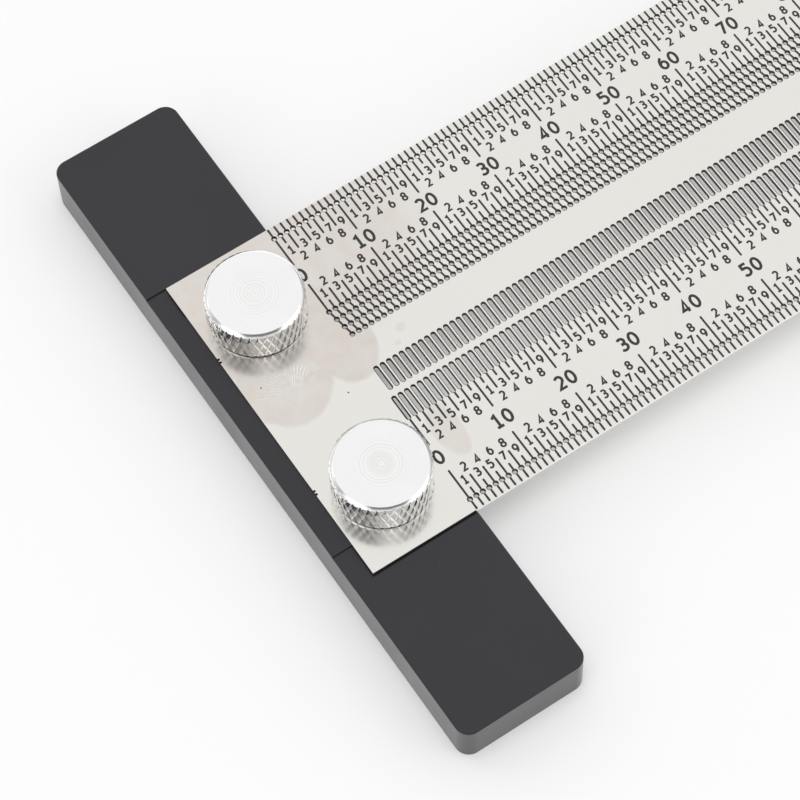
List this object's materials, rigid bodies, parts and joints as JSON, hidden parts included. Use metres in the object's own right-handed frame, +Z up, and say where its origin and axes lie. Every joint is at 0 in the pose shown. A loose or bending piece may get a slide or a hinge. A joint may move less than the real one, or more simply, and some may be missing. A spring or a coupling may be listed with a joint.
{
  "type": "marking t-ruler",
  "caption": "Marking T-ruler: a thin steel blade with rows of millimetre guide slots, held on a black fence bar by knurled thumb screws.",
  "frame": {"origin": "centre of the fence face, the long side of the bar that butts against the work, on the blade's centre line and at half the bar's thickness", "axes": "+X runs out of the fence face along the blade, +Y along the fence, +Z up from the bar to the blade and knobs"},
  "size_m": [0.203, 0.1, 0.0137],
  "materials": {
    "head_bar": "satin",
    "blade": "satin",
    "thumb_screw": "gloss"
  },
  "bodies": {
    "ruler": {"head_bar": "head_bar", "blade": "blade"},
    "upper_screw": {"thumb_screw_upper": "thumb_screw"},
    "lower_screw": {"thumb_screw_lower": "thumb_screw"}
  },
  "joints": [
    {"name": "upper_screw_turn", "type": "hinge", "parent": "ruler", "child": "upper_screw", "pos_m": [-0.008, 0.015, 0.0046], "axis": [0, 0, 1], "range_deg": [0, 3240]},
    {"name": "lower_screw_turn", "type": "hinge", "parent": "ruler", "child": "lower_screw", "pos_m": [-0.008, -0.015, 0.0046], "axis": [0, 0, 1], "range_deg": [0, 3240]}
  ]
}
